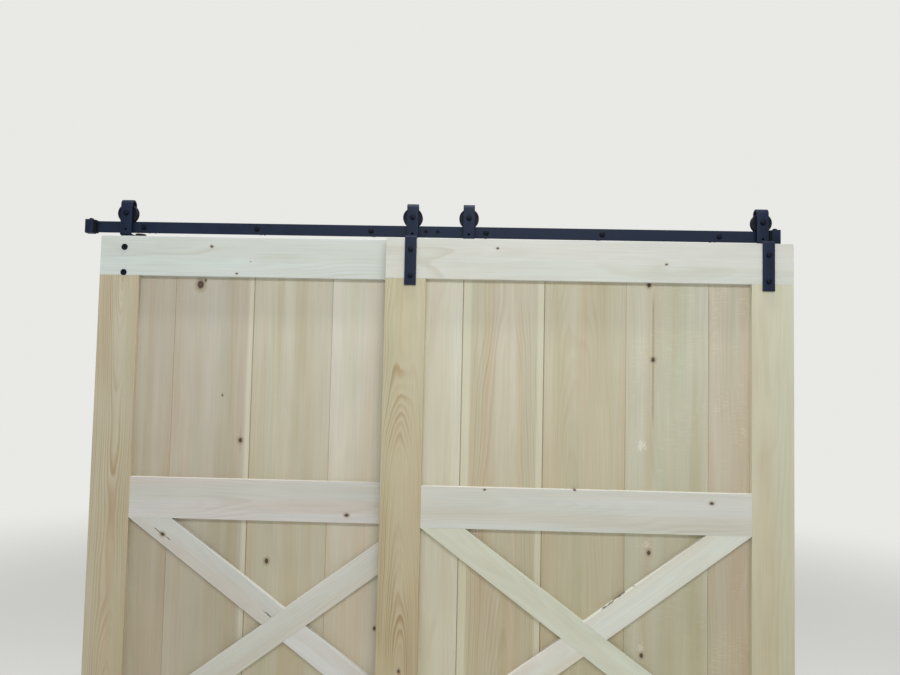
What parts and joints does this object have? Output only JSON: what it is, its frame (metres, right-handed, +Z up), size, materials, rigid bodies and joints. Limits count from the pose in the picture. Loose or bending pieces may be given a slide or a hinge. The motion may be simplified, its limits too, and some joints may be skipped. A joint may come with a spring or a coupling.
{
  "type": "sliding barn door",
  "caption": "Bypass barn door: framed plank leaves with X braces roll past each other on a shared flat wall rail, on grooved wheels in bent strap hangers.",
  "frame": {"origin": "on the wall plane, in the middle of the row of wall screws along the rail", "axes": "+X along the rail to the right as seen from the front, +Y into the wall, +Z up"},
  "size_m": [2.4672, 0.179, 1.9606],
  "materials": {
    "black_steel": "matt black powder coat on flat bar, with a faint blue sheen under the sky",
    "black_fasteners": "satin black coating on screws, bolts and nuts",
    "bearing_steel": "ground bearing steel",
    "screw_steel": "zinc plated wood screws",
    "wheel_nylon": "black nylon, turned",
    "disc_nylon": "black nylon, moulded",
    "pad_rubber": "matt black rubber",
    "rail_wood": "bare planed pale softwood, level grain",
    "stile_wood": "bare planed pale softwood, yellower, upright grain",
    "brace_wood": "bare planed pale softwood, grain along the brace",
    "panel_wood": "bare planed tan softwood boards, upright grain with small knots"
  },
  "bodies": {
    "track": {"end_stop_left": "black_steel", "end_stop_right": "black_steel", "end_stop_screws": "black_fasteners", "joiner_screws": "black_fasteners", "rail_joiner": "black_steel", "rail_left": "black_steel", "rail_right": "black_steel", "stop_pads": "pad_rubber", "wall_screws": "black_fasteners", "wall_spacers": "black_steel"},
    "rear_leaf": {"rear_anti_jump_discs": "disc_nylon", "rear_anti_jump_screws": "screw_steel", "rear_axle_bolts": "black_fasteners", "rear_axle_nuts": "black_fasteners", "rear_barrel_nuts": "black_fasteners", "rear_bearing_sleeves": "bearing_steel", "rear_bottom_rail": "rail_wood", "rear_left_hanger": "black_steel", "rear_left_stile": "stile_wood", "rear_long_brace": "brace_wood", "rear_lower_half_brace": "brace_wood", "rear_mid_rail": "rail_wood", "rear_panel_board_1": "panel_wood", "rear_panel_board_2": "panel_wood", "rear_panel_board_3": "panel_wood", "rear_panel_board_4": "panel_wood", "rear_panel_board_5": "panel_wood", "rear_right_hanger": "black_steel", "rear_right_stile": "stile_wood", "rear_strap_bolts": "black_fasteners", "rear_top_rail": "rail_wood", "rear_upper_half_brace": "brace_wood"},
    "front_leaf": {"front_axle_bolts": "black_fasteners", "front_axle_nuts": "black_fasteners", "front_barrel_nuts": "black_fasteners", "front_bearing_sleeves": "bearing_steel", "front_bottom_rail": "rail_wood", "front_left_hanger": "black_steel", "front_left_stile": "stile_wood", "front_long_brace": "brace_wood", "front_lower_half_brace": "brace_wood", "front_mid_rail": "rail_wood", "front_panel_board_1": "panel_wood", "front_panel_board_2": "panel_wood", "front_panel_board_3": "panel_wood", "front_panel_board_4": "panel_wood", "front_panel_board_5": "panel_wood", "front_right_hanger": "black_steel", "front_right_stile": "stile_wood", "front_strap_bolts": "black_fasteners", "front_top_rail": "rail_wood", "front_upper_half_brace": "brace_wood"},
    "rear_left_wheel": {"rear_left_bearing": "bearing_steel", "rear_left_wheel": "wheel_nylon"},
    "rear_right_wheel": {"rear_right_bearing": "bearing_steel", "rear_right_wheel": "wheel_nylon"},
    "front_left_wheel": {"front_left_bearing": "bearing_steel", "front_left_wheel": "wheel_nylon"},
    "front_right_wheel": {"front_right_bearing": "bearing_steel", "front_right_wheel": "wheel_nylon"}
  },
  "joints": [
    {"name": "rear_leaf_slide", "type": "slide", "parent": "track", "child": "rear_leaf", "axis": [1, 0, 0], "range_m": [-0.086, 0.938]},
    {"name": "front_leaf_slide", "type": "slide", "parent": "track", "child": "front_leaf", "axis": [1, 0, 0], "range_m": [-0.938, 0]},
    {"name": "rear_left_wheel_spin", "type": "hinge", "parent": "rear_leaf", "child": "rear_left_wheel", "pos_m": [-1.0739, -0.048, 0.0483], "axis": [0, 1, 0], "continuous": true},
    {"name": "rear_right_wheel_spin", "type": "hinge", "parent": "rear_leaf", "child": "rear_right_wheel", "pos_m": [0.1421, -0.048, 0.0483], "axis": [0, 1, 0], "continuous": true},
    {"name": "front_left_wheel_spin", "type": "hinge", "parent": "front_leaf", "child": "front_left_wheel", "pos_m": [-0.056, -0.048, 0.0483], "axis": [0, 1, 0], "continuous": true},
    {"name": "front_right_wheel_spin", "type": "hinge", "parent": "front_leaf", "child": "front_right_wheel", "pos_m": [1.16, -0.048, 0.0483], "axis": [0, 1, 0], "continuous": true}
  ],
  "couplings": [
    {"joint": "rear_left_wheel_spin", "follows": "rear_leaf_slide", "rad_per_m": 35.714},
    {"joint": "rear_right_wheel_spin", "follows": "rear_leaf_slide", "rad_per_m": 35.714},
    {"joint": "front_left_wheel_spin", "follows": "front_leaf_slide", "rad_per_m": 35.714},
    {"joint": "front_right_wheel_spin", "follows": "front_leaf_slide", "rad_per_m": 35.714}
  ]
}
